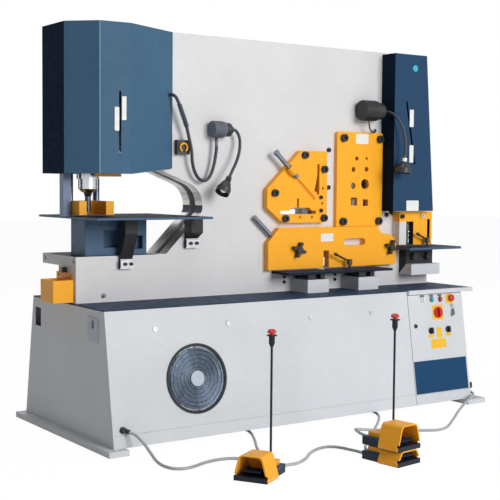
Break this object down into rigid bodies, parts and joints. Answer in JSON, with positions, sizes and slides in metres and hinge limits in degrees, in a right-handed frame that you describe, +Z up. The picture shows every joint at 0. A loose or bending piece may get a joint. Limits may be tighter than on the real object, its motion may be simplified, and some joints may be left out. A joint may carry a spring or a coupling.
{
  "type": "hydraulic ironworker",
  "caption": "Hydraulic ironworker with a punch, angle, section and flat shears and a notcher on a cabinet with foot pedals and work lamps.",
  "frame": {"origin": "centre of the four anchor holes, on the floor under the foot bars", "axes": "+X along the machine from the punch to the notcher, +Y from the operator to the back, +Z up"},
  "size_m": [2.732, 2.0224, 2.137],
  "materials": {
    "beige_paint": "satin",
    "light_grey_paint": "satin",
    "blue_paint": "satin",
    "dark_blue_paint": "satin",
    "slate_top": "satin",
    "yellow_paint": "satin",
    "tool_steel": "satin",
    "bright_steel": "polished",
    "black_steel": "matte",
    "grey_metal": "satin",
    "black_plastic": "matte",
    "red_plastic": "gloss",
    "teal_plastic": "gloss",
    "hose_grey": "matte"
  },
  "bodies": {
    "machine": {"base_cabinet": "light_grey_paint", "front_panel": "light_grey_paint", "panel_fittings": "grey_metal", "worktop": "slate_top", "fan_guard": "grey_metal", "power_unit": "dark_blue_paint", "control_gear": "grey_metal", "main_frame": "beige_paint", "jaw_plate": "tool_steel", "slug_bin": "yellow_paint", "punch_cover": "blue_paint", "shear_cover": "dark_blue_paint", "punch_cylinder": "black_steel", "stripper": "yellow_paint", "die_block": "blue_paint", "fixed_tools": "tool_steel", "punch_table": "slate_top", "table_straps": "black_steel", "shear_cylinder": "black_steel", "angle_guard": "yellow_paint", "section_plate": "yellow_paint", "flat_guard": "yellow_paint", "guard_bolts": "black_steel", "flat_table": "slate_top", "notch_guard": "yellow_paint", "notch_table": "slate_top", "station_brackets": "light_grey_paint", "work_lamps": "black_steel", "lamp_conduits": "black_plastic", "pedal_shrouds": "yellow_paint", "pedal_bases": "dark_blue_paint", "hose_left": "hose_grey", "hose_link": "hose_grey", "hose_right": "hose_grey", "floor_hoses": "hose_grey"},
    "door": {"cabinet_door": "light_grey_paint"},
    "fan": {"fan_rotor": "black_plastic"},
    "start": {"start_button": "teal_plastic"},
    "stop": {"stop_button": "red_plastic"},
    "panel_stop": {"panel_estop": "red_plastic"},
    "main_knob": {"main_switch": "red_plastic"},
    "mode_knob": {"mode_switch": "black_plastic"},
    "left_knob": {"left_selector": "black_plastic"},
    "right_knob": {"right_selector": "black_plastic"},
    "punch_slide_body": {"punch_ram": "bright_steel", "punch": "tool_steel"},
    "beam": {"shear_beam": "tool_steel"},
    "shear_piston": {"shear_ram": "bright_steel"},
    "notch_slide_body": {"notch_ram": "tool_steel"},
    "angle_screw": {"angle_hold_down": "bright_steel"},
    "flat_screw": {"flat_hold_down": "bright_steel"},
    "left_star": {"left_star_knob": "black_plastic"},
    "right_star": {"right_star_knob": "black_plastic"},
    "flat_handle": {"flat_lever": "black_plastic"},
    "notch_handle": {"notch_lever": "black_plastic"},
    "left_foot": {"left_treadle": "tool_steel"},
    "lower_foot": {"lower_treadle": "tool_steel"},
    "upper_foot": {"upper_treadle": "tool_steel"},
    "left_stop": {"left_post_stop": "red_plastic"},
    "right_stop": {"right_post_stop": "red_plastic"}
  },
  "joints": [
    {"name": "punch_slide", "type": "slide", "parent": "machine", "child": "punch_slide_body", "axis": [0, 0, -1], "range_m": [0, 0.07]},
    {"name": "beam_rock", "type": "hinge", "parent": "machine", "child": "beam", "pos_m": [-0.15, 0.02, 1.4], "axis": [0, 1, 0], "range_deg": [0, 4]},
    {"name": "shear_ram_slide", "type": "slide", "parent": "machine", "child": "shear_piston", "axis": [0, 0, -1], "range_m": [0, 0.0815]},
    {"name": "notch_slide", "type": "slide", "parent": "machine", "child": "notch_slide_body", "axis": [0, 0, -1], "range_m": [0, 0.085]},
    {"name": "fan_spin", "type": "hinge", "parent": "machine", "child": "fan", "pos_m": [-0.723, -0.48303, 0.327], "axis": [0, -0.9877, 0.1562], "continuous": true},
    {"name": "door_swing", "type": "hinge", "parent": "machine", "child": "door", "pos_m": [1.225, -0.4794, 0.35], "axis": [0, 0.1562, 0.9877], "range_deg": [0, 100]},
    {"name": "start_press", "type": "slide", "parent": "door", "child": "start", "axis": [0, 0.9877, -0.1562], "range_m": [0, 0.004], "stiffness_N_per_m": 1500},
    {"name": "stop_press", "type": "slide", "parent": "door", "child": "stop", "axis": [0, 0.9877, -0.1562], "range_m": [0, 0.004], "stiffness_N_per_m": 1500},
    {"name": "panel_stop_press", "type": "slide", "parent": "door", "child": "panel_stop", "axis": [0, 0.9877, -0.1562], "range_m": [0, 0.005], "stiffness_N_per_m": 1500},
    {"name": "main_turn", "type": "hinge", "parent": "door", "child": "main_knob", "pos_m": [1.011, -0.44619, 0.56], "axis": [0, -0.9877, 0.1562], "range_deg": [-90, 0]},
    {"name": "mode_turn", "type": "hinge", "parent": "door", "child": "mode_knob", "pos_m": [0.894, -0.43354, 0.64], "axis": [0, -0.9877, 0.1562], "range_deg": [-45, 45]},
    {"name": "left_select_turn", "type": "hinge", "parent": "door", "child": "left_knob", "pos_m": [0.942, -0.46279, 0.455], "axis": [0, -0.9877, 0.1562], "range_deg": [-60, 60]},
    {"name": "right_select_turn", "type": "hinge", "parent": "door", "child": "right_knob", "pos_m": [1.083, -0.46279, 0.455], "axis": [0, -0.9877, 0.1562], "range_deg": [-60, 60]},
    {"name": "angle_screw_turn", "type": "hinge", "parent": "machine", "child": "angle_screw", "pos_m": [0.02, -0.144, 1.499], "axis": [0.7391, 0, -0.6736], "continuous": true},
    {"name": "flat_screw_turn", "type": "hinge", "parent": "machine", "child": "flat_screw", "pos_m": [-0.112, -0.1065, 1.138], "axis": [0.7391, 0, -0.6736], "continuous": true},
    {"name": "left_star_turn", "type": "hinge", "parent": "machine", "child": "left_star", "pos_m": [0.184, -0.128, 0.944], "axis": [0, -1, 0], "continuous": true},
    {"name": "right_star_turn", "type": "hinge", "parent": "machine", "child": "right_star", "pos_m": [0.9, -0.128, 0.942], "axis": [0, -1, 0], "continuous": true},
    {"name": "flat_lever_turn", "type": "hinge", "parent": "machine", "child": "flat_handle", "pos_m": [0.545, -0.17, 0.822], "axis": [0, 0, 1], "range_deg": [0, 70]},
    {"name": "notch_lever_turn", "type": "hinge", "parent": "machine", "child": "notch_handle", "pos_m": [1.165, -0.184, 0.94], "axis": [0, 0, 1], "range_deg": [0, 70]},
    {"name": "left_treadle_press", "type": "hinge", "parent": "machine", "child": "left_foot", "pos_m": [-0.85028, -1.2255, 0.035], "axis": [0.515, -0.8572, 0], "range_deg": [0, 8], "stiffness_Nm_per_rad": 8, "springref_deg": -6.88},
    {"name": "lower_treadle_press", "type": "hinge", "parent": "machine", "child": "lower_foot", "pos_m": [-0.14492, -1.34197, 0.035], "axis": [0.9903, 0.1392, 0], "range_deg": [0, 8], "stiffness_Nm_per_rad": 8, "springref_deg": -6.88},
    {"name": "upper_treadle_press", "type": "hinge", "parent": "machine", "child": "upper_foot", "pos_m": [-0.14492, -1.34197, 0.107], "axis": [0.9903, 0.1392, 0], "range_deg": [0, 8], "stiffness_Nm_per_rad": 8, "springref_deg": -6.88},
    {"name": "left_stop_press", "type": "slide", "parent": "machine", "child": "left_stop", "axis": [0, 0, -1], "range_m": [0, 0.005], "stiffness_N_per_m": 1500, "springref_m": -0.003},
    {"name": "right_stop_press", "type": "slide", "parent": "machine", "child": "right_stop", "axis": [0, 0, -1], "range_m": [0, 0.005], "stiffness_N_per_m": 1500, "springref_m": -0.003}
  ],
  "couplings": [
    {"joint": "shear_ram_slide", "follows": "beam_rock", "m_per_rad": 1.15},
    {"joint": "notch_slide", "follows": "beam_rock", "m_per_rad": 1.197}
  ]
}
